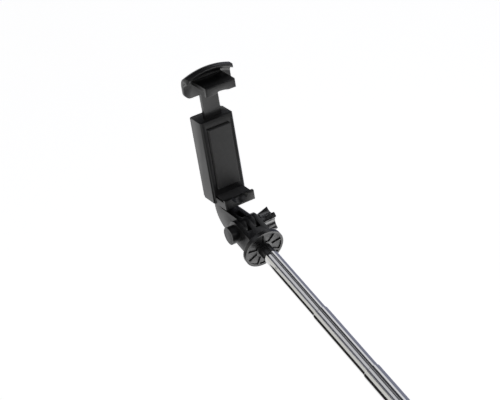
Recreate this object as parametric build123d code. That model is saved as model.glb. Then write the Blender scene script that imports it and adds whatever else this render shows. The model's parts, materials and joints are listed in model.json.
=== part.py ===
"""Telescopic selfie stick with a spring clamp for a phone, drawn out to its full length.

Millimetres. +Y runs along the rod from the handle to the head, +Z is up and X is the hinge's axis.
The origin is the mouth of the tripod thread in the handle's end, on the rod's axis.
The clamp is built upright over its hinge, with Y as its depth and Z as its height, and then leant back.
"""
import os
from math import cos, hypot, radians, sin, sqrt, tan

from build123d import *

# Clearances
slide_clearance = 0.05      # radial, between a tube and the mouth it slides through
turn_clearance = 0.06       # radial, between the pivot bolt and what turns on it
side_clearance = 0.10       # between the hinge's prongs, on each face
jaw_clearance = 0.12        # between the jaw's tongue and its channel, on each face
button_clearance = 0.15     # radial, between the button and its hole

# Telescopic tubes: numbered from the thinnest, next to the head
tube_count = 6
first_tube_radius = 4.5
tube_wall = 0.25
tube_gap = 0.20             # radial room between one tube and the next
stage_travel = 49.8         # how far each tube slides out of the next
tube_overlap = 16.0         # what stays inside the next tube when it is out
nose_gap = 2.0              # how far the first tube still stands out when all are in
mouth_lip = 1.4             # length of the rolled-in mouth
mouth_rounding = 0.12
groove_depth = 1.0
groove_floor_width = 1.4
groove_wall_angle = 45.0    # between a groove wall and the radius through its middle
groove_direction = 28.5     # from +Z towards -X, seen from the handle
groove_outer_rounding = 0.30
groove_inner_rounding = 0.25
sleeve_slit_margin = 0.45   # room each side of the groove in a slit friction sleeve

# Hinge and base plate at the head, measured from the hinge's axis
plate_top = 16.7
plate_thickness = 3.1
plate_rounding = 0.7
pocket_depth = 0.8
pocket_rim = 1.5
pocket_hub_radius = 5.5
plate_rib_count = 9
plate_rib_thickness = 1.0
plate_rib_start = 38.0      # first rib, from +Z towards +X
neck_end = 26.5             # where the first tube starts
plug_length = 15.0
plug_fit = 0.02
plug_pin_radius = 0.6
plug_pin_depth = 11.5       # below the first tube's top
plug_pin_direction = 57.0   # from +Z towards -X, on the land beside the groove
plug_pin_start = 1.0        # from the rod's axis
plug_pin_recess = 0.1       # under the tube's skin
prong_radius = 7.5
prong_thickness = 3.0
prong_slot = 3.1
slot_floor = 8.4
flare_margin = 0.358         # between the flare's corners and the plate's rounded rim
bolt_radius = 2.5
bolt_head_radius = 3.4
bolt_head_height = 2.6
boss_radius = 5.5
boss_length = 5.0
nut_across_flats = 8.0
nut_height = 3.4
nut_cap_height = 1.2

# Thumb knob
washer_radius = 5.0
washer_thickness = 1.2
knob_inner_radius = 5.2
knob_tip_radius = 7.5
knob_length = 8.9
knob_lobes = 4
knob_scallop_radius = 4.6
knob_scallop_reach = 8.7    # how far out the scallops' middles lie
knob_first_scallop = 75.0   # from +Y towards +Z, at rest
knob_rounding = 0.4
knob_lobe_rounding = 0.5
knob_collar = 1.2

# Clamp: depth is measured back from the hinge, height up from it
clamp_lean = 18.0           # how far it leans back at rest
arm_height = 7.85
arm_back = 28.3
arm_front = 21.0
arm_heel_radius = 14.5
arm_throat_radius = 3.0
fork_depth = 9.6
jaw_width = 20.0
jaw_front = 1.6
lip_thickness = 2.4
floor_bottom = 15.75
cover_bottom = 16.75
floor_top = 20.0
lower_lip_top = 21.7
phone_width = 71.5          # the opening between the jaws' pads at rest
pad_thickness = 0.6
scoop_radius = 6.5
scoop_depth = -1.2
scoop_height = 23.3
arch_radius = 12.0
arch_depth = -3.0
arch_drop = 9.65            # how far the arch's middle lies under the lip's edge
jaw_edge_rounding = 0.7

# Clamp housing
housing_width = 22.0
housing_front = 13.9
housing_rounding = 1.6
jaw_close_travel = 15.0     # from rest until the jaws are shut
finger_stop = 1.0           # between the housing and the finger plate when the jaws are shut
tongue_width = 11.0
tongue_front = 17.9
tongue_thickness = 2.6
tongue_room = 6.0           # under the tongue when the jaws are shut
chamber_width = 19.6
chamber_floor = 19.0
chamber_roof_thickness = 2.4
back_cover_thickness = 2.0
cover_rounding = 0.8
cover_screw_radius = 0.8
cover_screw_head = 1.5
cover_screw_length = 8.0
cover_post_radius = 1.9
cover_post_bite = 0.4       # how far each post runs into the chamber's walls
back_pad_front = 12.3
back_pad_seat = 0.5
back_pad_width = 15.0
back_pad_bottom = 25.0
back_pad_margin = 5.0       # under the housing's top
spring_radius = 1.3
spring_wire = 0.35
spring_spacing = 7.9        # from the middle to each spring
spring_bar_radius = 0.6
spring_bar_inset = 2.0      # above the tongue's end
spring_foot_height = 23.0

# Upper jaw
upper_lip_drop = 3.15       # how far the lip hangs under the web
upper_web_thickness = 2.25
upper_jaw_width = 19.6
finger_width = 31.4
finger_drop = 7.7           # how far the finger plate reaches below the web's underside
finger_corner_rise = 6.6    # its corners and its arched top above that face
finger_rise = 9.5
finger_corner_radius = 4.0
finger_curl_radius = 5.0
finger_curl_angle = 120.0
finger_tip_corner = 3.0     # corner radius of the curl's ends, seen from above

# Handle
handle_length = 130.0
handle_radius = 13.15
shell_step = 0.75           # how far the bare shell lies under the grip's skin
shell_wall = 1.8
grip_thickness = 1.3
grip_start = 7.0
grip_port_gap = 10.0        # from the grip's end to the charging port's middle
grip_groove_pitch = 4.0
grip_groove_radius = 0.75
grip_groove_reach = 0.35    # how far outside the grip's skin the groove's middle lies
tube_end_room = 2.2         # left in the fixed tube under the tubes when all are in
guide_rib_width = 2.0
guide_rib_low_inset = 2.5   # from the fixed tube's low end
guide_rib_high_inset = 13.0 # from the handle's mouth
cradle_rib_inset = 7.5      # from the battery's ends
collar_length = 11.0
collar_face = 2.0
collar_wall = 1.55
collar_rounding = 0.8
cap_spigot = 5.5
cap_rounding = 1.4
thread_radius = 2.55        # wall of a 1/4 inch, 20 per inch tripod thread
thread_depth = 9.0
insert_radius = 4.2
insert_groove = 0.4
cap_screw_radius = 0.9
cap_screw_head = 1.6
cap_screw_end = 5.6
cap_screw_head_height = 0.9

# Inside the handle
battery_radius = 7.0
battery_room = 9.5          # between the battery and the fixed tube
battery_tip_radius = 2.6
battery_tip_height = 0.8
board_width = 9.6
board_length = 44.0
board_thickness = 0.8
board_tube_gap = 0.4
board_mouth_gap = 18.0      # from the board's end to the handle's mouth
board_post_radius = 1.0
board_post_inset = 3.0
switch_width = 4.6
switch_height = 0.9
switch_stem_radius = 1.1
switch_stem_height = 0.2
button_inset = 15.0         # from the board's end near the head
button_radius = 4.0
button_flange_radius = 4.7
button_flange_thickness = 0.5
button_travel = 0.5
switch_gap = 0.05           # left between the pressed button and the switch stem
button_stand = 0.7          # how far it stands out of the shell
button_dish_radius = 14.0
button_dish_depth = 0.35
pocket_room = 0.1
port_inset = 8.0            # from the board's other end
port_width = 7.4
port_depth = 2.8
port_wall = 0.35
port_recess = 0.75
light_inset = 18.0
light_radius = 1.0
lead_radius = 0.4
lead_spacing = 3.2
lead_height = 5.0
lead_bend = 2.0
shell_screw_gap = 5.0       # beyond the battery
shell_screw_radius = 0.95
shell_screw_head = 1.8
shell_screw_head_height = 1.2
shell_screw_reach = 7.0
shell_post_radius = 2.3

# Worked out from the sizes above
tube_step = tube_wall + tube_gap
handle_tube_radius = first_tube_radius + tube_count * tube_step
handle_tube_low = handle_length - stage_travel - tube_overlap - tube_end_room
second_tube_mouth = handle_length + (tube_count - 1) * stage_travel
first_tube_top = second_tube_mouth + stage_travel + nose_gap
hinge_y = first_tube_top + neck_end
plate_radius = handle_radius
plate_low = hinge_y - plate_top - plate_thickness
plate_high = hinge_y - plate_top
block_half = 1.5 * prong_thickness + prong_slot
block_corner = hypot(block_half, prong_radius)
block_flare = (plate_radius - plate_rounding - flare_margin - block_corner) / sqrt(2)
knob_face = block_half + washer_thickness + side_clearance
arm_width = prong_thickness + 2 * (prong_slot - side_clearance)
upper_web_bottom = floor_top + pad_thickness + phone_width + pad_thickness
finger_bottom = upper_web_bottom - finger_drop
finger_corner_height = upper_web_bottom + finger_corner_rise
finger_top = upper_web_bottom + finger_rise
finger_curl_start = finger_top - finger_curl_radius - tongue_thickness / 2
housing_top = finger_bottom - jaw_close_travel - finger_stop
chamber_roof = housing_top - chamber_roof_thickness
back_pad_top = housing_top - back_pad_margin
tongue_end = chamber_floor + jaw_close_travel + tongue_room
tongue_back = tongue_front + tongue_thickness
spring_bar_height = tongue_end + spring_bar_inset
cover_front = arm_back - back_cover_thickness
grip_seat_radius = handle_radius - grip_thickness
shell_radius = handle_radius - shell_step
shell_bore = shell_radius - shell_wall
collar_neck_radius = handle_radius - collar_wall
guide_rib_low = handle_tube_low + guide_rib_low_inset
guide_rib_high = handle_length - guide_rib_high_inset
battery_low = grip_start + cap_spigot
battery_high = handle_tube_low - battery_room
cradle_rib_low = battery_low + cradle_rib_inset
cradle_rib_high = battery_high - cradle_rib_inset
shell_screw_place = battery_high + shell_screw_gap
board_end = handle_length - board_mouth_gap
board_start = board_end - board_length
board_height = handle_tube_radius + board_tube_gap
board_top = board_height + board_thickness
button_place = board_end - button_inset
light_place = board_start + light_inset
port_place = board_start + port_inset
grip_end = port_place - grip_port_gap
switch_top = board_top + switch_height + switch_stem_height
button_bottom = switch_top + button_travel + switch_gap
button_flange_top = button_bottom + button_flange_thickness

parts = {}


def keep(name, *solids):
    """Files one node's solids under its name."""
    parts[name] = list(solids)


# Ways of turning a flat outline into a solid ----------------------------------------------------
def along_rod(outline, low, high):
    """Carries an outline drawn in X and Z along the rod from low to high."""
    start = Plane(origin=(0, high, 0), x_dir=(1, 0, 0), z_dir=(0, -1, 0))
    return extrude(start * outline, amount=high - low)


def across(outline, low, high):
    """Carries an outline drawn in Y and Z sideways from low to high."""
    start = Plane(origin=(low, 0, 0), x_dir=(0, 1, 0), z_dir=(1, 0, 0))
    return extrude(start * outline, amount=high - low)


def upwards(outline, low, high):
    """Carries an outline drawn in X and Y up from low to high."""
    return extrude(Pos(0, 0, low) * outline, amount=high - low)


def block(x_low, x_high, y_low, y_high, z_low, z_high):
    """A box between two corners."""
    middle = Pos((x_low + x_high) / 2, (y_low + y_high) / 2, (z_low + z_high) / 2)
    return middle * Box(x_high - x_low, y_high - y_low, z_high - z_low)


def rod_ring(outer, inner, low, high):
    """A plain ring round the rod's axis."""
    return along_rod(Circle(outer) - Circle(inner), low, high)


def at_hinge(shape):
    """Moves what was drawn round the hinge at the origin to the head."""
    return Pos(0, hinge_y, 0) * shape


def lean(shape):
    """Leans the upright clamp back round the hinge and puts it at the head."""
    return at_hinge(Rot(-clamp_lean, 0, 0) * shape)


# Tubes ------------------------------------------------------------------------------------------
def fluted(radius, grow=0.0, mouth_round=groove_outer_rounding, floor_round=groove_inner_rounding):
    """A round section with one groove, its walls moved out by grow from those of a tube's outside."""
    slope = radians(groove_wall_angle)
    floor = radius - groove_depth + grow
    half_floor = groove_floor_width / 2 - grow * (cos(slope) - (1 - sin(slope)) * tan(slope))
    reach = radius + grow + 1
    half_mouth = half_floor + (reach - floor) * tan(slope)
    corners = [(-half_floor, floor), (half_floor, floor), (half_mouth, reach), (-half_mouth, reach)]
    section = Circle(radius + grow) - make_face(Polyline(*corners, close=True))
    floor_corners = [v for v in section.vertices() if abs(v.Y - floor) < 1e-4]
    section = fillet(floor_corners, floor_round)
    mouth_corners = [v for v in section.vertices() if v.Y > floor + groove_depth / 2]
    section = fillet(mouth_corners, mouth_round)
    return Rot(0, 0, groove_direction) * section


def bore_section(radius):
    """The inside of a tube of this outer radius."""
    return fluted(radius, -tube_wall, groove_inner_rounding, groove_outer_rounding)


def drawn_tube(radius, low, high):
    """A grooved tube with the rim of its high end broken."""
    body = along_rod(fluted(radius), low, high)
    rim = body.faces().sort_by(Axis.Y)[-1].outer_wire().edges()
    return chamfer(rim, mouth_rounding)


def open_tube(radius, low, high):
    """A tube with an even bore from end to end."""
    return drawn_tube(radius, low, high) - along_rod(bore_section(radius), low, high)


def lipped_tube(radius, low, high):
    """A tube whose mouth, at its high end, is rolled in so that it holds the next tube."""
    bore = bore_section(radius)
    mouth = bore & Circle(radius - tube_wall - tube_gap + slide_clearance)
    body = drawn_tube(radius, low, high)
    return body - along_rod(bore, low, high - mouth_lip) - along_rod(mouth, low, high)


def friction_sleeve(radius, low, high):
    """A slit spring sleeve round a tube's lower end, open where the groove runs."""
    ring = Circle(radius + tube_gap - slide_clearance) - Circle(radius)
    half_slit = groove_floor_width / 2 + groove_depth + sleeve_slit_margin
    slit = Pos(0, radius) * Rectangle(2 * half_slit, 2 * groove_depth)
    return along_rod(Rot(0, 0, groove_direction) * (ring - slit), low, high)


def make_tubes():
    """Six sliding tubes, each with its sleeve, and the fixed tube in the handle."""
    for number in range(1, tube_count + 1):
        radius = first_tube_radius + (number - 1) * tube_step
        mouth_above = handle_length + (tube_count - number) * stage_travel
        low = mouth_above - tube_overlap
        sleeve_top = mouth_above - mouth_lip - slide_clearance
        if number == 1:
            tube = open_tube(radius, low, first_tube_top) - plug_pin_shape()
        else:
            tube = lipped_tube(radius, low, mouth_above + stage_travel)
        keep(f"tube_{number}", tube)
        keep(f"friction_sleeve_{number}", friction_sleeve(radius, low, sleeve_top))
    keep("handle_tube", lipped_tube(handle_tube_radius, handle_tube_low, handle_length))


# Head -------------------------------------------------------------------------------------------
def base_plate():
    """The round plate under the hinge, with ribbed pockets in its underside."""
    plate = along_rod(Circle(plate_radius), plate_low, plate_high)
    rims = plate.edges().filter_by(GeomType.CIRCLE)
    plate = fillet(rims.sort_by(Axis.Y)[-1], plate_rounding)
    pocket = rod_ring(plate_radius - pocket_rim, pocket_hub_radius, plate_low, plate_low + pocket_depth)
    rib_length = plate_radius - pocket_rim - pocket_hub_radius + 2
    rib_middle = (plate_radius - pocket_rim + pocket_hub_radius) / 2
    for turn in range(plate_rib_count):
        angle = -(plate_rib_start + turn * 360 / plate_rib_count)
        rib = Rot(0, 0, angle) * Pos(0, rib_middle) * Rectangle(plate_rib_thickness, rib_length)
        pocket -= along_rod(rib, plate_low, plate_low + pocket_depth)
    return plate - pocket


def make_head_base():
    """Base plate, three hinge prongs, the nut's boss and the plug that fills the first tube."""
    half_height = prong_radius
    knuckle = across(Circle(prong_radius), -block_half, block_half)
    shank = block(-block_half, block_half, -plate_top - plate_thickness / 2, 0, -half_height, half_height)
    prongs = knuckle + shank
    for side in (-1, 1):
        inner = side * prong_thickness / 2
        outer = side * (prong_thickness / 2 + prong_slot)
        slot = block(min(inner, outer), max(inner, outer), -slot_floor, prong_radius + 1,
                     -prong_radius - 1, prong_radius + 1)
        prongs -= slot
    boss = across(Circle(boss_radius), -block_half - boss_length, -block_half)
    nut_hexagon = RegularPolygon(nut_across_flats / 2, 6, major_radius=False)
    nut_seat = across(nut_hexagon, -block_half - boss_length, -block_half - boss_length + nut_cap_height
                      + nut_height)
    bolt_hole = across(Circle(bolt_radius + turn_clearance), -block_half - boss_length, block_half)
    hinge = at_hinge(prongs + boss - nut_seat - bolt_hole)
    plug_section = fluted(first_tube_radius, -tube_wall - plug_fit, groove_inner_rounding,
                          groove_outer_rounding)
    plug = along_rod(plug_section, first_tube_top - plug_length, plate_low + pocket_depth)
    base = base_plate() + hinge + plug
    flare_edges = [e for e in base.edges() if abs(e.center().Y - plate_high) < 1e-3
                   and abs(e.center().X) < block_half + 1e-3 and e.length < 4 * prong_radius
                   and abs(e.center().Z) < prong_radius + 1e-3]
    base = fillet(flare_edges, block_flare)
    keep("head_base", base - plug_pin_shape())


def plug_pin_shape():
    """A short pin through the first tube's wall into the plug."""
    place = Pos(0, first_tube_top - plug_pin_depth, 0) * Rot(0, -plug_pin_direction, 0)
    return place * upwards(Circle(plug_pin_radius), plug_pin_start, first_tube_radius - plug_pin_recess)


def make_hinge_hardware():
    """Pivot bolt, nut, cap, washer and the lobed thumb knob."""
    bolt_start = -block_half - boss_length + nut_cap_height
    bolt_end = knob_face + knob_length - 1.6
    bolt = across(Circle(bolt_radius), bolt_start, bolt_end)
    head_start = bolt_end - bolt_head_height
    bolt_head = across(RegularPolygon(bolt_head_radius, 6), head_start, bolt_end)
    keep("pivot_bolt", at_hinge(bolt + bolt_head))
    nut_hexagon = RegularPolygon(nut_across_flats / 2, 6, major_radius=False)
    nut = across(nut_hexagon - Circle(bolt_radius + slide_clearance), bolt_start, bolt_start + nut_height)
    keep("pivot_nut", at_hinge(nut))
    cap_face = -block_half - boss_length
    keep("nut_cap", at_hinge(across(nut_hexagon, cap_face, cap_face + nut_cap_height)))
    washer_low = block_half + side_clearance
    washer = across(Circle(washer_radius) - Circle(bolt_radius), washer_low, washer_low + washer_thickness)
    keep("knob_washer", at_hinge(washer))
    keep("thumb_knob", at_hinge(knob_shape() - bolt - bolt_head))


def knob_shape():
    """A knob that flares outwards, cut into lobes by round scallops."""
    low = knob_face
    high = low + knob_length
    lobed = Circle(knob_tip_radius)
    for turn in range(knob_lobes):
        angle = radians(knob_first_scallop + turn * 360 / knob_lobes)
        place = Pos(knob_scallop_reach * cos(angle), knob_scallop_reach * sin(angle))
        lobed -= place * Circle(knob_scallop_radius)
    lobed = fillet(lobed.vertices(), knob_lobe_rounding)
    knob = across(lobed, low, high)
    rims = knob.faces().sort_by(Axis.X)[-1].outer_wire().edges()
    knob = fillet(rims, knob_rounding) + across(Circle(knob_inner_radius), low, low + knob_collar)
    profile = Polyline((low, 0), (low, knob_inner_radius), (high, knob_tip_radius), (high, 0), close=True)
    return knob & revolve(make_face(profile), Axis.X)


# Clamp ------------------------------------------------------------------------------------------
def arm_outline():
    """Side view of the arm: round at the hinge, straight back, then up through a rounded heel."""
    heel_depth = arm_back - arm_heel_radius
    heel_height = arm_heel_radius - prong_radius
    top = cover_bottom
    line = Line((0, -prong_radius), (heel_depth, -prong_radius))
    heel = RadiusArc((heel_depth, -prong_radius), (arm_back, heel_height), -arm_heel_radius)
    back = Line((arm_back, heel_height), (arm_back, top))
    roof = Line((arm_back, top), (arm_front, top))
    front = Line((arm_front, top), (arm_front, arm_height))
    under = Line((arm_front, arm_height), (0, arm_height))
    close = Line((0, arm_height), (0, -prong_radius))
    outline = make_face([line, heel, back, roof, front, under, close])
    throat = [v for v in outline.vertices() if abs(v.X - arm_front) < 1e-3 and abs(v.Y - arm_height) < 1e-3]
    return fillet(throat, arm_throat_radius) + Circle(prong_radius)


def arm():
    """The arm from the hinge to the housing, forked round the middle prong."""
    shape = across(arm_outline(), -arm_width / 2, arm_width / 2)
    half_fork = prong_thickness / 2 + side_clearance
    fork = block(-half_fork, half_fork, -prong_radius - 1, fork_depth, -prong_radius - 1, arm_height + 1)
    bolt_hole = across(Circle(bolt_radius + turn_clearance), -arm_width, arm_width)
    return shape - fork - bolt_hole


def lower_jaw():
    """The floor under the phone and its front lip, with a scooped middle."""
    half = jaw_width / 2
    shape = block(-half, half, jaw_front, arm_back - back_cover_thickness, floor_bottom, floor_top)
    shape += block(-half, half, jaw_front, jaw_front + lip_thickness, floor_bottom, lower_lip_top)
    front = shape.faces().sort_by(Axis.Y)[0].edges()
    shape = fillet(front, jaw_edge_rounding)
    return shape - Pos(0, scoop_depth, scoop_height) * Sphere(scoop_radius)


def housing_shell():
    """The box behind the phone that guides the upper jaw, open at the back."""
    half = housing_width / 2
    shape = block(-half, half, housing_front, cover_front, floor_bottom, housing_top)
    shape = fillet(shape.edges().filter_by(Axis.Z).group_by(Axis.Y)[0], housing_rounding)
    half_chamber = chamber_width / 2
    shape -= block(-half_chamber, half_chamber, tongue_front - jaw_clearance, cover_front,
                   chamber_floor, chamber_roof)
    half_slot = tongue_width / 2 + jaw_clearance
    shape -= block(-half_slot, half_slot, tongue_front - jaw_clearance, tongue_back + jaw_clearance,
                   chamber_floor, housing_top)
    half_pad = back_pad_width / 2
    return shape - block(-half_pad, half_pad, housing_front, housing_front + back_pad_seat,
                         back_pad_bottom, back_pad_top)


def cover_screw_places():
    """Across and up: one screw in each corner of the chamber's back."""
    inset = cover_post_radius - cover_post_bite
    across_place = chamber_width / 2 - inset
    low = chamber_floor + inset
    high = chamber_roof - inset
    return [(side * across_place, height) for side in (-1, 1) for height in (low, high)]


def back_bar(radius, x, z, low, high):
    """A round bar standing in the clamp's depth."""
    return Pos(x, 0, z) * along_rod(Circle(radius), low, high)


def make_clamp_body():
    """Arm, lower jaw and housing in one moulding, with posts for the cover's screws."""
    body = arm() + lower_jaw() + housing_shell()
    for x, z in cover_screw_places():
        body += back_bar(cover_post_radius, x, z, tongue_front - jaw_clearance, cover_front)
        body -= back_bar(cover_screw_radius, x, z, arm_back - cover_screw_length, cover_front)
    for side in (-1, 1):
        foot = back_bar(spring_bar_radius, side * spring_spacing, spring_foot_height,
                        tongue_front - jaw_clearance, tongue_back + 2 * spring_radius)
        body += foot
    keep("clamp_body", lean(body))


def make_back_cover():
    """The plate that closes the housing, held by four countersunk screws."""
    half = housing_width / 2
    cover = block(-half, half, cover_front, arm_back, cover_bottom, housing_top)
    cover = fillet(cover.edges().filter_by(Axis.Z).group_by(Axis.Y)[-1], housing_rounding)
    cover = fillet(cover.faces().sort_by(Axis.Z)[-1].edges().sort_by(Axis.Y)[-1], cover_rounding)
    screws = []
    for x, z in cover_screw_places():
        shank = back_bar(cover_screw_radius, x, z, arm_back - cover_screw_length, arm_back - 0.3)
        head = back_bar(cover_screw_head, x, z, arm_back - 1.2, arm_back - 0.3)
        recess = back_bar(cover_screw_head, x, z, arm_back - 1.2, arm_back)
        cross = Pos(x, 0, z) * (along_rod(Rectangle(1.8, 0.4) + Rectangle(0.4, 1.8),
                                          arm_back - 0.8, arm_back - 0.3))
        cover -= recess + back_bar(cover_screw_radius, x, z, cover_front, arm_back)
        screws.append(lean(shank + head - cross))
    keep("back_cover", lean(cover))
    keep("cover_screws", *screws)


def make_pads():
    """Rubber faces where the phone is held: floor, upper jaw and back."""
    inset = 1.2
    half = jaw_width / 2 - inset
    start = jaw_front + lip_thickness + 1.6
    lower = block(-half, half, start, housing_front, floor_top, floor_top + pad_thickness)
    keep("lower_pad", lean(lower))
    half_upper = upper_jaw_width / 2 - inset
    upper = block(-half_upper, half_upper, jaw_front + lip_thickness, housing_front,
                  upper_web_bottom - pad_thickness, upper_web_bottom)
    keep("upper_pad", lean(upper))
    half_back = back_pad_width / 2
    pad = block(-half_back, half_back, back_pad_front, housing_front + back_pad_seat,
                back_pad_bottom, back_pad_top)
    pad = fillet(pad.faces().sort_by(Axis.Y)[0].edges(), 0.6)
    keep("back_pad", lean(pad))


def finger_plate():
    """The wide plate that a finger pulls: flat below, with an arched top that curls forward."""
    middle = tongue_front + tongue_thickness / 2 - finger_curl_radius
    outer = finger_curl_radius + tongue_thickness / 2
    inner = finger_curl_radius - tongue_thickness / 2
    turn = radians(finger_curl_angle)
    half = finger_width / 2
    arch_rise = finger_top - finger_corner_height
    arch = (half ** 2 + arch_rise ** 2) / (2 * arch_rise)
    hub = finger_top - arch
    foot = hub + arch / 3

    def on_curl(radius):
        return (middle + radius * cos(turn), finger_curl_start + radius * sin(turn))

    outline = make_face([
        Line((tongue_front, foot), (tongue_back, foot)),
        Line((tongue_back, foot), (tongue_back, finger_curl_start)),
        RadiusArc((tongue_back, finger_curl_start), on_curl(outer), -outer),
        Line(on_curl(outer), on_curl(inner)),
        RadiusArc(on_curl(inner), (tongue_front, finger_curl_start), inner),
        Line((tongue_front, finger_curl_start), (tongue_front, foot)),
    ])
    tips = [v for v in outline.vertices() if v.Y > finger_curl_start + 1]
    outline = fillet(tips, tongue_thickness / 2 - 0.15)
    disc = revolve(Plane.YZ * outline, Axis((0, 0, hub), (0, 1, 0)), 360)
    front = make_face([
        Line((-half, finger_bottom), (half, finger_bottom)),
        Line((half, finger_bottom), (half, finger_corner_height + 0.5)),
        ThreePointArc((half, finger_corner_height + 0.5), (0, finger_top + 0.5),
                      (-half, finger_corner_height + 0.5)),
        Line((-half, finger_corner_height + 0.5), (-half, finger_bottom)),
    ])
    front = fillet(front.vertices(), finger_corner_radius)
    tip = middle + outer * cos(turn)
    reach = 2 * (tongue_back + finger_tip_corner + 1 - tip)
    plan = Pos(0, tip + reach / 2) * RectangleRounded(finger_width, reach, finger_tip_corner)
    return disc & along_rod(front, 0, tongue_back + 1) & upwards(plan, finger_bottom - 1, finger_top + 1)


def make_upper_jaw():
    """The sliding jaw: web over the phone, front lip, finger plate and tongue."""
    half = upper_jaw_width / 2
    web_top = upper_web_bottom + upper_web_thickness
    hook = block(-half, half, jaw_front, tongue_front + tongue_thickness / 2, upper_web_bottom, web_top)
    hook += block(-half, half, jaw_front, jaw_front + lip_thickness, upper_web_bottom - upper_lip_drop,
                  web_top)
    hook = fillet(hook.faces().sort_by(Axis.Y)[0].edges(), jaw_edge_rounding)
    arch_height = upper_web_bottom - upper_lip_drop - arch_drop
    hook -= Pos(0, arch_depth, arch_height) * Sphere(arch_radius)
    half_tongue = tongue_width / 2
    tongue = block(-half_tongue, half_tongue, tongue_front, tongue_back, tongue_end, finger_bottom + 2)
    bar_hole = across(Pos(tongue_front + tongue_thickness / 2, spring_bar_height)
                      * Circle(spring_bar_radius), -half, half)
    keep("upper_jaw", lean(hook + finger_plate() + tongue - bar_hole))


def make_springs():
    """Two drawn-out springs between the housing's feet and a steel bar through the tongue."""
    half_bar = spring_spacing + spring_radius
    bar_depth = tongue_front + tongue_thickness / 2
    bar = across(Pos(bar_depth, spring_bar_height) * Circle(spring_bar_radius), -half_bar, half_bar)
    keep("spring_bar", lean(bar))
    for name, side in (("left", -1), ("right", 1)):
        place = Pos(side * spring_spacing, bar_depth)
        coil = upwards(place * (Circle(spring_radius) - Circle(spring_radius - spring_wire)),
                       spring_foot_height + spring_bar_radius, spring_bar_height - spring_bar_radius)
        keep(f"jaw_spring_{name}", lean(coil))


# Handle -----------------------------------------------------------------------------------------
def half_space(side):
    """A box holding the half of the handle that faces up (1) or down (-1)."""
    reach = 2 * handle_radius
    low, high = (0, reach) if side > 0 else (-reach, 0)
    return block(-reach, reach, -1, handle_length + 1, low, high)


def shell_body():
    """The handle's round casing before it is split: grip seat, bare part, collar neck and ribs."""
    neck_start = handle_length - collar_length
    body = rod_ring(grip_seat_radius, shell_bore, grip_start, grip_end)
    body += rod_ring(shell_radius, shell_bore, grip_end, neck_start)
    body += rod_ring(collar_neck_radius, shell_bore, neck_start, handle_length - collar_face)
    guide = Circle(shell_bore) - fluted(handle_tube_radius)
    for start in (guide_rib_low, guide_rib_high):
        body += along_rod(guide, start, start + guide_rib_width)
    for start in (cradle_rib_low, cradle_rib_high):
        body += rod_ring(shell_bore, battery_radius, start, start + guide_rib_width)
    return body - cap_screw_holes()


def cap_screw_bar(radius, side, low, high):
    """A bar across the handle's end, from low to high out from the middle."""
    height = grip_start + cap_spigot / 2
    start, end = (low, high) if side > 0 else (-high, -low)
    return across(Pos(height, 0) * Circle(radius), start, end)


def cap_screw_holes():
    """Holes for the two screws that hold the end cap."""
    holes = None
    for side in (-1, 1):
        hole = cap_screw_bar(cap_screw_radius, side, cap_screw_end, grip_seat_radius)
        hole += cap_screw_bar(cap_screw_head, side, grip_seat_radius - cap_screw_head_height,
                              grip_seat_radius + 1)
        holes = hole if holes is None else holes + hole
    return holes


def shell_post(radius, low, high):
    """A post or a hole for the screw that joins the two shells."""
    return Pos(0, shell_screw_place, 0) * upwards(Circle(radius), low, high)


def make_shells():
    """Upper shell with the button, light and port openings, and the plain lower shell."""
    body = shell_body()
    skin = along_rod(Circle(shell_bore + 0.5), grip_start, handle_length)
    upper = body & half_space(1)
    upper += shell_post(shell_post_radius, 0, shell_bore + 1) & skin
    upper -= shell_post(shell_screw_radius, 0, shell_screw_reach)
    upper -= block(-lead_spacing - 1, lead_spacing + 1, guide_rib_low - 1,
                   guide_rib_low + guide_rib_width + 1, board_height - 0.6, shell_bore - 1)
    for along in (board_start + board_post_inset, board_end - board_post_inset):
        for side in (-1, 1):
            post = Pos(side * board_post_inset, along, 0) * upwards(Circle(board_post_radius), board_top,
                                                                    shell_bore)
            upper += post
    upper -= Pos(0, button_place, 0) * upwards(Circle(button_radius + button_clearance), 0, handle_radius)
    upper -= Pos(0, button_place, 0) * upwards(Circle(button_flange_radius + button_clearance), board_top,
                                               button_flange_top + pocket_room)
    upper -= Pos(0, light_place, 0) * upwards(Circle(light_radius), board_top, handle_radius)
    half_port = port_width / 2 + pocket_room
    half_depth = port_depth / 2 + pocket_room
    upper -= block(-half_port, half_port, port_place - half_depth, port_place + half_depth, board_top,
                   handle_radius)
    keep("upper_shell", upper)
    lower = body & half_space(-1)
    lower += shell_post(shell_post_radius, -shell_bore - 1, 0) & skin
    head_low = -grip_seat_radius
    lower -= shell_post(shell_screw_radius, head_low, 0)
    lower -= shell_post(shell_screw_head, head_low - 1, head_low + shell_screw_head_height)
    keep("lower_shell", lower)


def make_shell_screw():
    """The screw from the lower shell into the upper shell's post."""
    head_low = -grip_seat_radius + 0.3
    head_high = -grip_seat_radius + shell_screw_head_height
    screw = shell_post(shell_screw_head, head_low, head_high)
    screw += shell_post(shell_screw_radius, head_high, shell_screw_reach)
    cross = upwards(Rectangle(2.2, 0.5) + Rectangle(0.5, 2.2), head_low, head_low + 0.5)
    keep("shell_screw", screw - Pos(0, shell_screw_place, 0) * cross)


def make_grip():
    """The rubber sleeve, with rounded grooves all along it."""
    grip = rod_ring(handle_radius, grip_seat_radius, grip_start, grip_end)
    grip = fillet(grip.edges().filter_by(GeomType.CIRCLE).group_by(Axis.Y)[-1].sort_by(
        lambda e: e.radius)[-1], 0.6)
    count = int((grip_end - grip_start) / grip_groove_pitch)
    middle = (grip_start + grip_end) / 2
    for number in range(count):
        place = middle + (number - (count - 1) / 2) * grip_groove_pitch
        groove = Pos(0, place, 0) * Rot(90, 0, 0) * Torus(handle_radius + grip_groove_reach,
                                                          grip_groove_radius)
        grip -= groove
    keep("grip_sleeve", grip)


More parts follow.
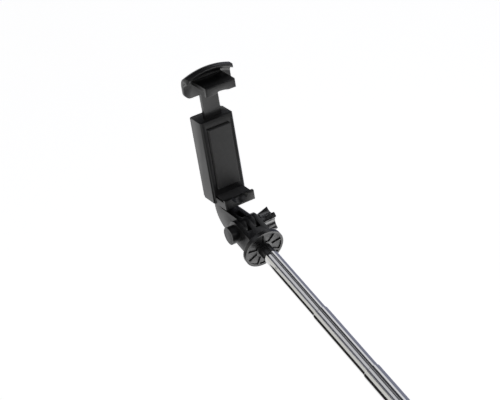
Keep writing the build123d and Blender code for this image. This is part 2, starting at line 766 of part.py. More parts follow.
def make_collar():
    """The metal ring that closes the handle's mouth round the fixed tube."""
    low = handle_length - collar_length
    collar = along_rod(Circle(handle_radius), low, handle_length)
    rims = collar.edges().filter_by(GeomType.CIRCLE).sort_by(Axis.Y)
    collar = fillet([rims[0], rims[-1]], collar_rounding)
    collar -= along_rod(Circle(collar_neck_radius), low, handle_length - collar_face)
    keep("top_collar", collar - along_rod(fluted(handle_tube_radius), low, handle_length))


def make_end_cap():
    """End cap, its brass tripod insert and its two screws."""
    cap = along_rod(Circle(handle_radius), 0, grip_start)
    cap = fillet(cap.edges().filter_by(GeomType.CIRCLE).sort_by(Axis.Y)[0], cap_rounding)
    cap += along_rod(Circle(shell_bore), grip_start, grip_start + cap_spigot)
    cap -= along_rod(Circle(insert_radius), 0, thread_depth)
    keep("end_cap", cap - cap_screw_holes())
    insert = rod_ring(insert_radius, thread_radius, 0, thread_depth)
    mouth = insert.edges().filter_by(GeomType.CIRCLE).group_by(Axis.Y)[0].sort_by(lambda e: e.radius)[0]
    insert = chamfer(mouth, 0.35)
    insert -= rod_ring(insert_radius + 1, insert_radius - insert_groove, 3.6, 4.8)
    keep("thread_insert", insert)
    screws = []
    for side in (-1, 1):
        seat = grip_seat_radius - cap_screw_head_height
        screw = cap_screw_bar(cap_screw_radius, side, cap_screw_end, seat)
        screw += cap_screw_bar(cap_screw_head, side, seat, grip_seat_radius - 0.2)
        screws.append(screw)
    keep("cap_screws", *screws)


def make_electronics():
    """Battery, leads, circuit board, switch, charging port and light."""
    battery = along_rod(Circle(battery_radius), battery_low, battery_high)
    battery = fillet(battery.edges().filter_by(GeomType.CIRCLE), 0.5)
    battery += along_rod(Circle(battery_tip_radius), battery_high, battery_high + battery_tip_height)
    keep("battery", battery)
    board = block(-board_width / 2, board_width / 2, board_start, board_end, board_height, board_top)
    keep("circuit_board", board)
    body_top = board_top + switch_height
    half = switch_width / 2
    switch = block(-half, half, button_place - half, button_place + half, board_top, body_top)
    switch += Pos(0, button_place, 0) * upwards(Circle(switch_stem_radius), body_top, switch_top)
    keep("button_switch", switch)
    half_port = port_width / 2
    half_depth = port_depth / 2
    port_top = shell_radius - port_recess
    port = block(-half_port, half_port, port_place - half_depth, port_place + half_depth, board_top,
                 port_top)
    port = fillet(port.edges().filter_by(Axis.Z), 0.5)
    port -= block(-half_port + port_wall, half_port - port_wall, port_place - half_depth + port_wall,
                  port_place + half_depth - port_wall, board_top + 0.6, port_top)
    port += block(-half_port + 1.4, half_port - 1.4, port_place - 0.3, port_place + 0.3, board_top,
                  port_top - 0.6)
    keep("charge_port", port)
    light = Pos(0, light_place, 0) * upwards(Circle(light_radius), board_top, shell_radius)
    keep("status_light", light)
    leads = []
    for side in (-1, 1):
        x = side * lead_spacing
        centre = board_height + lead_radius
        route = FilletPolyline((x, battery_high, lead_height), (x, battery_high + 4, lead_height),
                               (x, guide_rib_low - 2.5, centre), (x, board_start, centre),
                               radius=lead_bend)
        start = Plane(origin=(x, battery_high, lead_height), x_dir=(1, 0, 0), z_dir=(0, 1, 0))
        leads.append(sweep(start * Circle(lead_radius), path=route))
    keep("battery_leads", *leads)


def make_button():
    """The shutter button: a dished cap on a flange that the shell holds in."""
    top = shell_radius + button_stand
    button = upwards(Circle(button_radius), button_flange_top, top)
    button = fillet(button.edges().filter_by(GeomType.CIRCLE).sort_by(Axis.Z)[-1], 0.5)
    button += upwards(Circle(button_flange_radius), button_bottom, button_flange_top)
    button -= Pos(0, 0, top + button_dish_radius - button_dish_depth) * Sphere(button_dish_radius)
    keep("shutter_button", Pos(0, button_place, 0) * button)


def make_plug_pin():
    """The pin that holds the head in the first tube."""
    keep("plug_pin", plug_pin_shape())


make_tubes()
make_head_base()
make_plug_pin()
make_hinge_hardware()
make_clamp_body()
make_back_cover()
make_pads()
make_upper_jaw()
make_springs()
make_shells()
make_shell_screw()
make_grip()
make_collar()
make_end_cap()
make_electronics()
make_button()

os.makedirs("parts", exist_ok=True)
for name, solids in parts.items():
    separate = [solid for shape in solids for solid in shape.solids()]
    export_step(Compound(children=separate) if len(separate) > 1 else separate[0], f"parts/{name}.step")
    print(name, len(separate), "solids")
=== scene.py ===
"""Looks of the telescopic selfie stick: its finishes, and its tubes, grip, coils and thread as surfaces."""

import json
from math import cos, pi, radians, sin

import bpy
import numpy as np
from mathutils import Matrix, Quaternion, Vector


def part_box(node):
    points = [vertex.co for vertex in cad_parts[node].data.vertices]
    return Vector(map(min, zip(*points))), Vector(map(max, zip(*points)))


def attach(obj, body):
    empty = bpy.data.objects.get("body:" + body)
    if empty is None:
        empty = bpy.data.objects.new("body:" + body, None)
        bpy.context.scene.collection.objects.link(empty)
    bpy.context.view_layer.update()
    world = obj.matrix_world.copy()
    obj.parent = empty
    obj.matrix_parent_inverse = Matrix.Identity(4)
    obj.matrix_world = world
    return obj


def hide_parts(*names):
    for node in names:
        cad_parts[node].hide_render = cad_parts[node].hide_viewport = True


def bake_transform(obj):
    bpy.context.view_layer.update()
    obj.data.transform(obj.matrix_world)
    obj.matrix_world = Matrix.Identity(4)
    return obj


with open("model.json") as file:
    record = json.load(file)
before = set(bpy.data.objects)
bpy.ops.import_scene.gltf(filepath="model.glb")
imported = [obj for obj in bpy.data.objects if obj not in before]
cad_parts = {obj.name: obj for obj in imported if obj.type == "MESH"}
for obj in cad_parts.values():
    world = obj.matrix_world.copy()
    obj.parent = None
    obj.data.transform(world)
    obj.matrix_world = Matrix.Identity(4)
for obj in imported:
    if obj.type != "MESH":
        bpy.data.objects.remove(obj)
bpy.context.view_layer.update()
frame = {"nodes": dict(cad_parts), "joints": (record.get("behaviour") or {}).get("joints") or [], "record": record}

MM = 0.001
joints = {joint["name"]: joint for joint in frame["joints"]}
hinge = Vector(joints["clamp_tilt"]["pos_m"])
jaw_axis = Vector(joints["jaw_slide"]["axis"])

groove_direction = radians(28.5)
groove_depth = 1.0 * MM
groove_half_floor = 0.7 * MM
groove_rounding = 0.16 * MM
groove_reach = radians(42)
tube_wall = 0.25 * MM
tube_lip_gap = 0.15 * MM


# ------------------------------------------------------------------------------------------ camera
def make_camera():
    """A long lens above and to the left of the handle's side, looking down at the head."""
    data = bpy.data.cameras.new("camera")
    data.lens = 108
    data.sensor_width = 36
    data.clip_start = 0.05
    data.clip_end = 20
    camera = bpy.data.objects.new("camera", data)
    look = Vector((0.394, 0.600, -0.6956))
    roll = Quaternion((0, 0, 1), radians(1.49))
    camera.rotation_mode = "QUATERNION"
    camera.rotation_quaternion = look.to_track_quat("-Z", "Y") @ roll
    camera.location = hinge + Vector((-0.3446, -0.5276, 0.6345))
    bpy.context.scene.collection.objects.link(camera)
    bpy.context.scene.camera = camera


# ---------------------------------------------------------------------------------- shader writing
class Value:
    """A socket's number that takes part in sums and products as plain numbers do."""

    def __init__(self, finish, socket):
        self.finish = finish
        self.socket = socket

    def maths(self, operation, left, right):
        return self.finish.value("ShaderNodeMath", {"operation": operation}, {0: left, 1: right})

    def __add__(self, other):
        return self.maths("ADD", self, other)

    def __sub__(self, other):
        return self.maths("SUBTRACT", self, other)

    def __mul__(self, other):
        return self.maths("MULTIPLY", self, other)

    def __rsub__(self, other):
        return self.maths("SUBTRACT", other, self)

    __radd__ = __add__
    __rmul__ = __mul__


class Finish:
    """One material and the nodes that make it."""

    def __init__(self, name):
        self.material = bpy.data.materials.new(name)
        self.material.use_nodes = True
        self.tree = self.material.node_tree
        self.tree.nodes.clear()

    def node(self, kind, settings=None, sockets=None):
        """Adds a node of a type, then its settings, then the values or links of its sockets."""
        node = self.tree.nodes.new(kind)
        for key, setting in (settings or {}).items():
            setattr(node, key, setting)
        for key, given in (sockets or {}).items():
            if isinstance(given, Value):
                self.tree.links.new(given.socket, node.inputs[key])
            else:
                node.inputs[key].default_value = given
        return node

    def value(self, kind, settings=None, sockets=None, output=0):
        return Value(self, self.node(kind, settings, sockets).outputs[output])

    def place(self, scale=(1, 1, 1), turn=(0, 0, 0), shift=(0, 0, 0)):
        """Object coordinates, scaled, turned and shifted."""
        start = self.value("ShaderNodeTexCoord", output="Object")
        return self.value("ShaderNodeMapping", None,
                          {"Vector": start, "Scale": scale, "Rotation": turn, "Location": shift})

    def noise(self, scale, detail=2.0, rough=0.5, where=None):
        return self.value("ShaderNodeTexNoise", None,
                          {"Vector": where or self.place(), "Scale": scale, "Detail": detail,
                           "Roughness": rough})

    def band(self, signal, low, high):
        """Rises from 0 to 1 as the signal goes from low to high."""
        return self.value("ShaderNodeMapRange", {"interpolation_type": "SMOOTHSTEP"},
                          {"Value": signal, "From Min": low, "From Max": high, "To Min": 0.0,
                           "To Max": 1.0}, "Result")

    def mix(self, factor, first, second):
        """A colour between two colours."""
        return self.value("ShaderNodeMix", {"data_type": "RGBA"}, {0: factor, 6: first, 7: second}, 2)

    def bump(self, height, distance, strength=1.0, after=None):
        sockets = {"Height": height, "Distance": distance, "Strength": strength}
        if after is not None:
            sockets["Normal"] = after
        return self.value("ShaderNodeBump", None, sockets, "Normal")

    def surface(self, **sockets):
        """Ends the material in one principled shader."""
        named = {key.replace("_", " "): given for key, given in sockets.items()}
        shader = self.value("ShaderNodeBsdfPrincipled", None, named, "BSDF")
        self.node("ShaderNodeOutputMaterial", None, {"Surface": shader})
        return self.material


def grey(level, tint=(1.0, 1.0, 1.0)):
    return (level * tint[0], level * tint[1], level * tint[2], 1.0)


# ---------------------------------------------------------------------------------------- finishes
def moulded_black(name, level, rough, grain, coat=0.0):
    """Black moulded plastic: spark-eroded grain, faint flow marks and handling polish."""
    finish = Finish(name)
    fine = finish.noise(5200.0, 2.0, 0.6)
    flow = finish.noise(95.0, 3.0, 0.55, finish.place(scale=(1.0, 0.55, 1.0)))
    rubbed = finish.band(finish.noise(60.0, 4.0, 0.6), 0.42, 0.66)
    colour = finish.mix(flow, grey(level * 0.82), grey(level * 1.18, (1.0, 1.0, 1.03)))
    dust = finish.band(finish.noise(2300.0, 1.0, 0.4), 0.70, 0.78)
    colour = finish.mix(dust * 0.18, colour, grey(level * 3.5))
    roughness = rough + (fine - 0.5) * 0.10 - rubbed * 0.06 + dust * 0.10
    normal = finish.bump(fine, grain)
    return finish.surface(Base_Color=colour, Roughness=roughness, Normal=normal, Coat_Weight=coat,
                          Coat_Roughness=0.18, IOR=1.5)


def polished_steel():
    """Drawn stainless tube: bright, with hair-fine lines along the rod, smears and painted shade in the groove.

    The painted shade lies on the groove's two walls, which are told by their distance across the groove; it
    darkens them to stand for the dark reflections a groove shows.
    """
    finish = Finish("polished_steel")
    lines = finish.noise(1.0, 3.0, 0.7, finish.place(scale=(9000.0, 60.0, 9000.0)))
    smears = finish.band(finish.noise(38.0, 4.0, 0.6, finish.place(scale=(1.0, 0.6, 1.0))), 0.45, 0.75)
    specks = finish.band(finish.noise(1500.0, 1.0, 0.5), 0.72, 0.8)
    where = finish.value("ShaderNodeTexCoord", output="Object")
    split = finish.node("ShaderNodeSeparateXYZ", None, {"Vector": where})
    side, up = (Value(finish, split.outputs[axis]) for axis in (0, 2))
    across = finish.value("ShaderNodeMath", {"operation": "ABSOLUTE"},
                          {0: side * cos(groove_direction) + up * sin(groove_direction)})
    above = up * cos(groove_direction) - side * sin(groove_direction)
    # painted shade: a mask over the groove's two walls, darkened to stand for their dark reflections
    painted_groove_shade = finish.band(across, 0.62 * MM, 0.80 * MM) * (1.0 - finish.band(across, 1.38 * MM, 1.52 * MM))
    painted_groove_shade = painted_groove_shade * finish.band(above, 0.0, MM)
    colour = finish.mix(smears * 0.3, grey(0.64, (1.0, 0.995, 0.985)), grey(0.56, (0.99, 0.99, 1.02)))
    # painted shade: the groove walls' colour is pulled towards a dark blue-grey
    colour = finish.mix(painted_groove_shade * 0.72, colour, grey(0.15, (0.9, 0.93, 1.15)))
    roughness = 0.06 + (lines - 0.5) * 0.04 + smears * 0.04 + specks * 0.10
    return finish.surface(Base_Color=colour, Metallic=1.0, Roughness=roughness,
                          Normal=finish.bump(lines, 0.0000003))


def turned_metal(name, level, tint, rough, scale, spread=0.5):
    """Turned or plated metal: fine grain, cloudy plating and a few dull spots."""
    finish = Finish(name)
    grain = finish.noise(scale, 3.0, 0.65)
    cloud = finish.noise(140.0, 3.0, 0.55)
    dull = finish.band(finish.noise(420.0, 2.0, 0.5), 0.60, 0.74)
    colour = finish.mix(cloud, grey(level * (1 - 0.25 * spread), tint), grey(level, tint))
    colour = finish.mix(dull * 0.25, colour, grey(level * 0.6, tint))
    roughness = rough + (grain - 0.5) * 0.16 + dull * 0.14
    return finish.surface(Base_Color=colour, Metallic=1.0, Roughness=roughness,
                          Normal=finish.bump(grain, 0.000004))


def soft_rubber(name, level, rough):
    """Matt rubber: dense pebbled skin with a faint dusty bloom."""
    finish = Finish(name)
    pebble = finish.value("ShaderNodeTexVoronoi", {"feature": "SMOOTH_F1"},
                          {"Vector": finish.place(), "Scale": 2600.0, "Smoothness": 0.6}, "Distance")
    fine = finish.noise(6500.0, 2.0, 0.6)
    bloom = finish.band(finish.noise(120.0, 4.0, 0.6), 0.40, 0.75)
    colour = finish.mix(bloom, grey(level), grey(level * 1.7, (1.0, 0.99, 0.97)))
    roughness = rough + bloom * 0.08 - pebble * 0.10
    normal = finish.bump(fine, 0.000008, after=finish.bump(pebble, 0.00002))
    return finish.surface(Base_Color=colour, Roughness=roughness, Normal=normal, Sheen_Weight=0.15)


def clear_light():
    """Milky light pipe with a soft glow."""
    finish = Finish("light_pipe")
    cloud = finish.noise(900.0, 2.0, 0.5)
    colour = finish.mix(cloud, grey(0.75, (0.85, 0.95, 1.0)), grey(0.9, (0.9, 0.97, 1.0)))
    return finish.surface(Base_Color=colour, Roughness=0.15 + cloud * 0.1, Emission_Color=colour,
                          Emission_Strength=0.25)


def board_green():
    """Solder mask over copper tracks laid in a fine square lattice."""
    finish = Finish("board_green")
    tracks = finish.value("ShaderNodeTexBrick", {"offset": 0.5},
                          {"Vector": finish.place(scale=(400.0, 400.0, 400.0)), "Scale": 1.0,
                           "Mortar Size": 0.06, "Color1": grey(0.0), "Color2": grey(0.0),
                           "Mortar": grey(1.0)}, "Fac")
    colour = finish.mix(tracks, (0.008, 0.10, 0.035, 1), (0.03, 0.22, 0.08, 1))
    return finish.surface(Base_Color=colour, Roughness=0.3 + tracks * 0.1,
                          Normal=finish.bump(tracks, 0.00002), Coat_Weight=0.4)


def wrap_film(name, low, high):
    """Thin coloured plastic skin with slight creases."""
    finish = Finish(name)
    crease = finish.noise(260.0, 4.0, 0.6, finish.place(scale=(1.0, 0.3, 1.0)))
    colour = finish.mix(crease, low, high)
    return finish.surface(Base_Color=colour, Roughness=0.28 + crease * 0.14,
                          Normal=finish.bump(crease, 0.00004))


finishes = {
    "polished_steel": polished_steel(),
    "black_plastic": moulded_black("black_plastic", 0.012, 0.34, 0.0000035),
    "knob_plastic": moulded_black("knob_plastic", 0.030, 0.22, 0.0000012, 0.6),
    "button_plastic": moulded_black("button_plastic", 0.030, 0.20, 0.0000015, 0.3),
    "soft_rubber": soft_rubber("soft_rubber", 0.022, 0.72),
    "grip_rubber": soft_rubber("grip_rubber", 0.028, 0.62),
    "zinc_steel": turned_metal("zinc_steel", 0.62, (1.0, 1.0, 0.99), 0.30, 2600.0),
    "spring_steel": turned_metal("spring_steel", 0.48, (1.0, 0.98, 0.95), 0.24, 3200.0),
    "brass": turned_metal("brass", 0.80, (1.0, 0.76, 0.38), 0.22, 2400.0, 0.3),
    "collar_metal": turned_metal("collar_metal", 0.78, (1.0, 1.0, 1.01), 0.18, 3000.0, 0.2),
    "board": board_green(),
    "cell_wrap": wrap_film("cell_wrap", (0.02, 0.06, 0.22, 1), (0.04, 0.11, 0.34, 1)),
    "wire_red": wrap_film("wire_red", (0.30, 0.01, 0.01, 1), (0.45, 0.03, 0.02, 1)),
    "light": clear_light(),
}


def dress(piece, slot):
    """Gives a piece the finish of a material slot."""
    piece.data.materials.clear()
    piece.data.materials.append(finishes[slot])


edge_softness = 0.25 * MM


def soften(node):
    """Rounds a moulding's sharp edges a little, as a mould does."""
    bevel = node.modifiers.new("softened", "BEVEL")
    bevel.limit_method = "ANGLE"
    bevel.angle_limit = radians(38)
    bevel.width = edge_softness
    bevel.segments = 3
    bevel.use_clamp_overlap = True


def dress_cad_nodes():
    """Each CAD node keeps its shape, shades smoothly up to a crease and takes its slot's finish."""
    slot_of = {row["node"]: row["material_slot"] for row in frame["record"]["subparts"]}
    for name, node in frame["nodes"].items():
        weld = node.modifiers.new("weld", "WELD")
        weld.merge_threshold = 0.000001
        if slot_of[name] in ("black_plastic", "knob_plastic"):
            soften(node)
        split = node.modifiers.new("creases", "EDGE_SPLIT")
        split.split_angle = radians(28)
        node.data.shade_smooth()
        dress(node, slot_of[name])


# ---------------------------------------------------------------------------------------- surfaces
def skin(name, points, body, slot, replaced, crease=30):
    """A closed mesh over a grid of points.

    Rows follow each other along a closed profile and columns run once round the piece, so both
    directions close on themselves. Faces are turned outwards by the sign of the volume they enclose.
    """
    rows, columns = points.shape[:2]
    index = np.arange(rows * columns).reshape(rows, columns)
    above = np.roll(index, -1, axis=0)
    quads = np.stack([index, np.roll(index, -1, axis=1), np.roll(above, -1, axis=1), above], axis=-1)
    return finished_mesh(name, points.reshape(-1, 3), quads.reshape(-1, 4), body, slot, replaced, crease)


def wire_skin(name, points, body, slot, replaced):
    """A closed mesh over rings carried along an open path.

    Each end ring is filled by strips between its two sides.
    """
    rows, columns = points.shape[:2]
    index = np.arange(rows * columns).reshape(rows, columns)
    low, high = index[:-1], index[1:]
    sides = np.stack([low, np.roll(low, -1, axis=1), np.roll(high, -1, axis=1), high], axis=-1)
    near = np.arange(columns // 2 - 1)
    strip = np.stack([near, near + 1, columns - 2 - near, columns - 1 - near], axis=-1)
    quads = np.concatenate([sides.reshape(-1, 4), index[0][strip[:, ::-1]], index[-1][strip]])
    return finished_mesh(name, points.reshape(-1, 3), quads, body, slot, replaced, 60)


def finished_mesh(name, vertices, quads, body, slot, replaced, crease):
    """Puts vertices and four-sided faces into an object that stands for CAD nodes.

    It rides on a body, if one is named. The volume is the sum over each face's two triangles.
    """
    corners = vertices[quads]
    halves = [np.einsum("ij,ij->i", corners[:, 0], np.cross(corners[:, first], corners[:, first + 1]))
              for first in (1, 2)]
    if sum(half.sum() for half in halves) < 0:
        quads = quads[:, ::-1]
    mesh = bpy.data.meshes.new(name)
    mesh.vertices.add(len(vertices))
    mesh.vertices.foreach_set("co", vertices.astype(np.float32).ravel())
    mesh.loops.add(quads.size)
    mesh.loops.foreach_set("vertex_index", quads.astype(np.int32).ravel())
    mesh.polygons.add(len(quads))
    mesh.polygons.foreach_set("loop_start", np.arange(len(quads), dtype=np.int32) * 4)
    mesh.update(calc_edges=True)
    mesh.shade_smooth()
    mesh.set_sharp_from_angle(angle=radians(crease))
    piece = bpy.data.objects.new(name, mesh)
    bpy.context.scene.collection.objects.link(piece)
    dress(piece, slot)
    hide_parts(*replaced)
    if body:
        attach(piece, body)
    return piece


def turned(heights, radii, around):
    """Points of a turned piece, from each row's height along the rod and its radius at every angle.

    Angles run from +Z to -X, so a point lies at (-r sin a, y, r cos a).
    """
    radii = np.broadcast_to(radii, (len(heights), len(around)))
    heights = np.broadcast_to(np.asarray(heights)[:, None], radii.shape)
    return np.stack([-radii * np.sin(around), heights, radii * np.cos(around)], axis=-1)


def smooth_low(first, second, width):
    """The lower of two values, with their corner rounded over a width."""
    gap = np.clip(width - np.abs(first - second), 0, None)
    return np.minimum(first, second) - gap ** 2 / (4 * width)


def smooth_high(first, second, width):
    """The higher of two values, with their corner rounded over a width."""
    return -smooth_low(-first, -second, width)


def grooved_outline(radius, around, inwards=0.0):
    """Radius of a round tube's outline with one groove, moved inwards by a wall's thickness.

    Along a ray at angle a from the groove's middle, the floor lies at f / cos a and a 45 degree wall at
    (f - h) / (cos a - sin a). The groove is the higher of the two, and the outline is the lower of
    groove and circle.
    """
    away = np.abs((around - groove_direction + pi) % (2 * pi) - pi)
    floor = radius - groove_depth - inwards
    half = groove_half_floor + inwards * (sin(pi / 4) * 2 - 1)
    near = np.clip(away, 0, groove_reach)
    groove = smooth_high(floor / np.cos(near), (floor - half) / (np.cos(near) - np.sin(near)),
                         groove_rounding)
    groove = np.where(away < groove_reach, groove, 2 * radius)
    return smooth_low(groove, np.full_like(around, radius - inwards), groove_rounding)


def tube_columns():
    """Angles round a tube, close together at the groove and the pin beside it."""
    low, high = groove_direction - radians(27), groove_direction + radians(38)
    return np.concatenate([np.linspace(low, high, 130), np.linspace(high, low + 2 * pi, 110)[1:-1]])


def make_tube(name, body, lipped=True, dimple=None):
    """A drawn tube: grooved outside, rounded rim, rolled-in mouth and grooved bore.

    The closed profile runs up the outside, over the rim by a quarter circle, down the mouth and back
    down the bore. A dimple is a flat-bottomed pit, as deep as the distance from its edge allows.
    """
    low_corner, high_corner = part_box(name)
    low, high = low_corner[1], high_corner[1]
    radius = (high_corner[0] - low_corner[0]) / 2
    foot_chamfer = 0.06 * MM
    bore_chamfer = 0.05 * MM
    around = tube_columns()
    outside = grooved_outline(radius, around)
    bore = grooved_outline(radius, around, tube_wall)
    mouth = np.minimum(bore, radius - tube_wall - tube_lip_gap) if lipped else bore
    roll = np.linspace(0, pi / 2, 7)
    roll_depth, roll_length = (0.16 * MM, 0.45 * MM) if lipped else (0.06 * MM, 0.10 * MM)
    heights = [low, low + foot_chamfer]
    rows = [outside - foot_chamfer, outside]
    if dimple is not None:
        place, direction, size = dimple
        pit_depth = 0.16 * MM
        for height in place + np.linspace(-2.2, 2.2, 45) * size:
            reach = np.hypot(height - place, radius * (around - direction))
            rows.append(outside - pit_depth * np.clip(1.4 - reach / size, 0, 0.4) / 0.4)
            heights.append(height)
    heights += list(high - roll_length + roll_length * np.sin(roll))
    rows += [outside - roll_depth * (1 - cos(turn)) for turn in roll]
    heights += [high - 0.05 * MM, high - 1.35 * MM, high - 1.5 * MM, low + foot_chamfer, low]
    rows += [mouth, mouth, bore, bore, bore + bore_chamfer]
    points = turned(np.array(heights), np.array(rows), around)
    return skin(name + "_drawn", points, body, "polished_steel", [name])


def make_tubes():
    """The fixed tube in the handle and the six that slide out of it."""
    make_tube("handle_tube", "handle")
    for number in range(2, 7):
        make_tube(f"tube_{number}", f"stage_{number}")
    pin_low, pin_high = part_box("plug_pin")
    middle = [(a + b) / 2 for a, b in zip(pin_low, pin_high)]
    direction = np.arctan2(-middle[0], middle[2])
    pit_size = 0.62 * MM
    make_tube("tube_1", "head", False, (middle[1], direction, pit_size))


def make_grip():
    """The rubber sleeve: rings of lengthwise ribs between rounded grooves.

    The skin's radius is R less a rib depth times (1 + cos(48 a)) / 2, faded out towards each ring's
    edges, and less a groove that is the part of a circle outside the skin.
    """
    low_corner, high_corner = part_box("grip_sleeve")
    low, high = low_corner[1], high_corner[1]
    outer = (high_corner[0] - low_corner[0]) / 2
    pitch = 4.0 * MM
    groove_radius = 0.85 * MM
    groove_lift = 0.3 * MM
    edge = 0.6 * MM
    rib_depth = 0.16 * MM
    ribs_round = 48
    thickness = 1.3 * MM
    heights = np.linspace(low, high, 297)
    around = np.linspace(0, 2 * pi, ribs_round * 6, endpoint=False)
    count = int((high - low) / pitch)
    from_middle = heights - (low + high) / 2 + (count - 1) / 2 * pitch
    nearest = np.clip(np.round(from_middle / pitch), 0, count - 1) * pitch
    away = np.abs(from_middle - nearest)
    circle = np.sqrt(np.clip(groove_radius ** 2 - away ** 2, 0, None))
    groove = np.clip(circle - groove_lift, 0, None)
    ends = np.minimum(heights - low, high - heights)
    rounding = edge - np.sqrt(np.clip(edge ** 2 - np.clip(edge - ends, 0, None) ** 2, 0, None))
    fade = np.clip((away - groove_radius) / (0.35 * MM), 0, 1)
    fade = fade * np.clip((ends - edge) / (0.5 * MM), 0, 1)
    ribs = rib_depth * np.outer(fade, 0.5 + 0.5 * np.cos(ribs_round * around))
    radii = outer - (groove + rounding)[:, None] - ribs
    heights = np.concatenate([heights, [high, low]])
    radii = np.vstack([radii, np.full((2, len(around)), outer - thickness)])
    skin("grip_ribbed", turned(heights, radii, around), "handle", "grip_rubber", ["grip_sleeve"], 50)


def make_collar():
    """The mouth ring: a fine straight knurl between two turned bands, with a grooved hole in its face.

    The knurl is the outer radius less a depth times |sin(48 a)|.
    """
    low_corner, high_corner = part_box("top_collar")
    low, high = low_corner[1], high_corner[1]
    outer = (high_corner[0] - low_corner[0]) / 2
    teeth = 48
    around = np.linspace(0, 2 * pi, teeth * 2 * 5, endpoint=False)
    smooth = np.ones_like(around)
    knurl = outer - 0.22 * MM * np.abs(np.sin(teeth * around))
    round_off = np.linspace(0, pi / 2, 7)
    edge = 0.8 * MM
    sunk = outer - 0.3 * MM
    tube_low, tube_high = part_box("handle_tube")
    hole = grooved_outline((tube_high[0] - tube_low[0]) / 2, around)
    inner = outer - 1.55 * MM
    low_edge = [(low + edge * (1 - cos(a)), (outer - edge + edge * sin(a)) * smooth) for a in round_off]
    high_edge = [(high - (height - low), radii) for height, radii in reversed(low_edge)]
    profile = [(low, inner * smooth)] + low_edge
    profile += [(low + 2.2 * MM, outer * smooth), (low + 2.35 * MM, sunk * smooth),
                (low + 2.7 * MM, sunk * smooth), (low + 2.9 * MM, knurl),
                (high - 2.9 * MM, knurl), (high - 2.7 * MM, sunk * smooth),
                (high - 2.35 * MM, sunk * smooth), (high - 2.2 * MM, outer * smooth)]
    profile += high_edge
    profile += [(high, hole + 0.25 * MM), (high - 0.2 * MM, hole + 0.02 * MM), (high - 2 * MM, hole),
                (high - 2 * MM, inner * smooth)]
    heights = np.array([height for height, radii in profile])
    radii = np.array([radii for height, radii in profile])
    skin("collar_turned", turned(heights, radii, around), "handle", "collar_metal", ["top_collar"], 24)


def make_thread_insert():
    """The brass insert with its tapped hole.

    The bore's radius rises from the minor to the major radius and back once a pitch, with flat crests
    and roots, and each angle's phase is one turn per pitch. It dies out towards the chamfered mouth.
    """
    low_corner, high_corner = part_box("thread_insert")
    low, high = low_corner[1], high_corner[1]
    outer = (high_corner[0] - low_corner[0]) / 2
    minor, major, pitch = 2.55 * MM, 3.15 * MM, 1.27 * MM
    around = np.linspace(0, 2 * pi, 96, endpoint=False)
    bore_heights = np.linspace(high - 0.3 * MM, low + 0.4 * MM, 170)
    phase = (bore_heights[:, None] / pitch - around / (2 * pi)) % 1
    ramp = np.clip((np.abs(phase - 0.5) * 2 - 0.12) / 0.76, 0, 1)
    fade = np.clip(np.minimum(bore_heights - low, high - bore_heights) / (0.8 * MM) - 0.4, 0, 1)
    thread = minor + (major - minor) * ramp * fade[:, None]
    plain = np.ones_like(around)
    knurl = outer - 0.12 * MM * np.abs(np.sin(20 * around))
    waist = outer - 0.4 * MM
    profile = [(low, (minor + 0.35 * MM) * plain), (low, (outer - 0.3 * MM) * plain),
               (low + 0.3 * MM, outer * plain), (low + 0.5 * MM, knurl), (low + 3.5 * MM, knurl),
               (low + 3.6 * MM, waist * plain), (low + 4.8 * MM, waist * plain), (low + 4.9 * MM, knurl),
               (high - 0.2 * MM, knurl), (high, (outer - 0.2 * MM) * plain), (high, minor * plain)]
    heights = np.concatenate([[height for height, radii in profile], bore_heights])
    radii = np.vstack([[radii for height, radii in profile], thread])
    skin("insert_tapped", turned(heights, radii, around), "handle", "brass", ["thread_insert"], 35)


def make_spring(side):
    """A drawn-out coil between its foot on the housing and the bar through the tongue.

    The wire's middle runs round the spring's axis at the coil's radius while it climbs, more slowly
    towards both ends, and a circle is carried along it square to the path.
    """
    name = f"jaw_spring_{side}"
    low_corner, high_corner = (Vector(corner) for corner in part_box(name))
    radius = (high_corner.x - low_corner.x) / 2
    wire = 0.19 * MM
    turns = 27
    steps_a_turn = 18
    slowing = 0.33
    coil = radius - wire
    middle = (low_corner + high_corner) / 2
    rise = (high_corner.z - low_corner.z - 2 * radius * jaw_axis.y) / jaw_axis.z - 2 * wire
    along = np.linspace(0, 1, turns * steps_a_turn + 1)
    climb = along - slowing * np.sin(2 * pi * along) / (2 * pi)
    angle = 2 * pi * turns * along
    depth_axis = np.array([0.0, jaw_axis.z, -jaw_axis.y])
    side_axis = np.array([1.0, 0.0, 0.0])
    outward = np.outer(np.cos(angle), side_axis) + np.outer(np.sin(angle), depth_axis)
    path = np.array(middle) + coil * outward + np.outer((climb - 0.5) * rise, np.array(jaw_axis))
    forward = np.gradient(path, axis=0)
    forward /= np.linalg.norm(forward, axis=1, keepdims=True)
    across = np.cross(forward, outward)
    ring = np.linspace(0, 2 * pi, 10, endpoint=False)[None, :, None]
    section = outward[:, None] * np.cos(ring) + across[:, None] * np.sin(ring)
    piece = wire_skin(f"{name}_coil", path[:, None] + wire * section, None, "spring_steel", [name])
    bar_low, bar_high = (Vector(corner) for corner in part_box("spring_bar"))
    bar = (bar_low + bar_high) / 2
    ends = [middle - jaw_axis * rise / 2, middle + jaw_axis * rise / 2]
    foot, pulled = sorted(ends, key=lambda end: (end - bar).length, reverse=True)
    inset = (pulled - foot) * 0.05
    tuple(foot + inset)
    tuple(pulled - inset)
    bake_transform(piece)


def make_pieces():
    make_tubes()
    make_grip()
    make_collar()
    make_thread_insert()
    make_spring("left")
    make_spring("right")


# ------------------------------------------------------------------------------------------ studio
def area_light(name, place, target, size, power):
    """A rectangular lamp at a place from the hinge, turned to a target from the hinge."""
    data = bpy.data.lights.new(name, "AREA")
    data.shape = "RECTANGLE"
    data.size, data.size_y = size
    data.energy = power
    lamp = bpy.data.objects.new(name, data)
    lamp.location = hinge + Vector(place)
    lamp.rotation_mode = "QUATERNION"
    lamp.rotation_quaternion = (hinge + Vector(target) - lamp.location).to_track_quat("-Z", "Y")
    bpy.context.scene.collection.objects.link(lamp)


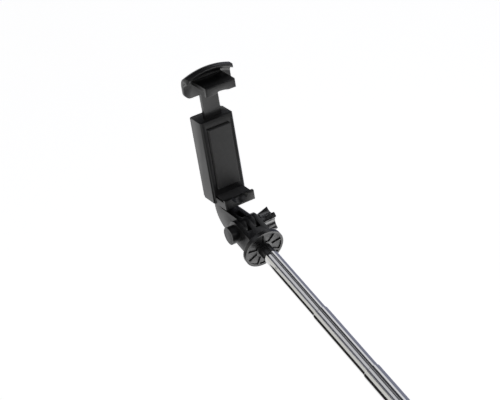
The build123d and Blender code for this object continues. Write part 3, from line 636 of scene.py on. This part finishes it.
def card(name, corners, level, tint):
    """A studio card, pale or dark, that only shows as a reflection, with corners from the hinge."""
    mesh = bpy.data.meshes.new(name)
    mesh.from_pydata([hinge + Vector(corner) for corner in corners], [], [(0, 1, 2, 3)])
    paint = Finish(name)
    mesh.materials.append(paint.surface(Base_Color=grey(0.0), Specular_IOR_Level=0.0, Roughness=1.0,
                                        Emission_Color=grey(level, tint), Emission_Strength=1.0))
    sheet = bpy.data.objects.new(name, mesh)
    bpy.context.scene.collection.objects.link(sheet)
    sheet.visible_camera = False
    sheet.visible_diffuse = False
    sheet.visible_shadow = False


def make_room(scene):
    """A room that is pale where it is looked at and dim where it is mirrored."""
    world = bpy.data.worlds.new("room")
    scene.world = world
    world.use_nodes = True
    nodes, links = world.node_tree.nodes, world.node_tree.links
    seen = nodes.new("ShaderNodeLightPath")
    pale = nodes.new("ShaderNodeMix")
    pale.data_type = "RGBA"
    pale.inputs[6].default_value = (0.055, 0.056, 0.062, 1)
    pale.inputs[7].default_value = (0.80, 0.81, 0.83, 1)
    links.new(seen.outputs["Is Camera Ray"], pale.inputs[0])
    links.new(pale.outputs[2], nodes["Background"].inputs["Color"])


def make_studio():
    """A pale floor well under the held stick, large soft lights, and cards for the polished tubes."""
    scene = bpy.context.scene
    scene.view_settings.view_transform = "Standard"
    make_room(scene)
    half = 4.0
    depth = -0.45
    corners = [(-half, -half, depth), (half, -half, depth), (half, half, depth), (-half, half, depth)]
    mesh = bpy.data.meshes.new("floor")
    mesh.from_pydata(corners, [], [(0, 1, 2, 3)])
    floor = bpy.data.objects.new("floor", mesh)
    scene.collection.objects.link(floor)
    paint = Finish("pale_floor")
    mottle = paint.noise(6.0, 3.0, 0.5)
    colour = paint.mix(mottle, grey(0.80), grey(0.84))
    mesh.materials.append(paint.surface(Base_Color=colour, Roughness=0.9, Emission_Color=grey(1.0),
                                        Emission_Strength=0.92))
    area_light("front", (0.30, -0.46, -0.36), (0, 0, 0), (0.45, 0.45), 1.9)
    area_light("key", (0.36, -0.60, 0.52), (0, 0, 0), (0.30, 0.30), 0.9)
    make_cards()


def make_cards():
    """Long cards beside the tubes, each set by the angle round the rod that it fills, from +Z to -X.

    A card's long edges lie at (-d sin a, d cos a) for its two angles a, at one distance d from the rod.
    The last card lies on the ground.
    """
    cool = (0.90, 0.94, 1.22)
    strips = [("left_dark", 109, 160, 0.50, (-0.35, 0.29), 0.02, (1.0, 1.0, 1.0)),
              ("left_beige", 69, 109, 0.72, (-0.35, 0.95), 0.84, (1.0, 1.0, 0.965)),
              ("top_white", 6, 46, 0.78, (-0.35, 0.75), 0.78, (0.97, 0.98, 1.03)),
              ("right_white", -60, -33, 0.72, (-0.35, 0.85), 0.98, (0.98, 0.99, 1.03)),
              ("right_grey_high", -95, -60, 0.75, (-0.10, 1.1), 0.29, cool),
              ("right_grey_low", -125, -95, 0.75, (-0.10, 1.1), 0.29, cool)]
    for name, first, last, far, lengthwise, level, tint in strips:
        near_end, far_end = lengthwise
        edges = [(-far * sin(radians(turn)), far * cos(radians(turn))) for turn in (first, last)]
        ends = (near_end, near_end, far_end, far_end)
        card(name, [(x, y, z) for (x, z), y in zip(edges + edges[::-1], ends)], level, tint)
    ground = -0.44
    outline = [(0.25, -0.05), (0.75, -0.05), (0.75, 0.80), (0.25, 0.80)]
    card("low_right", [(x, y, ground) for x, y in outline], 0.31, cool)


make_camera()
make_studio()
dress_cad_nodes()
make_pieces()
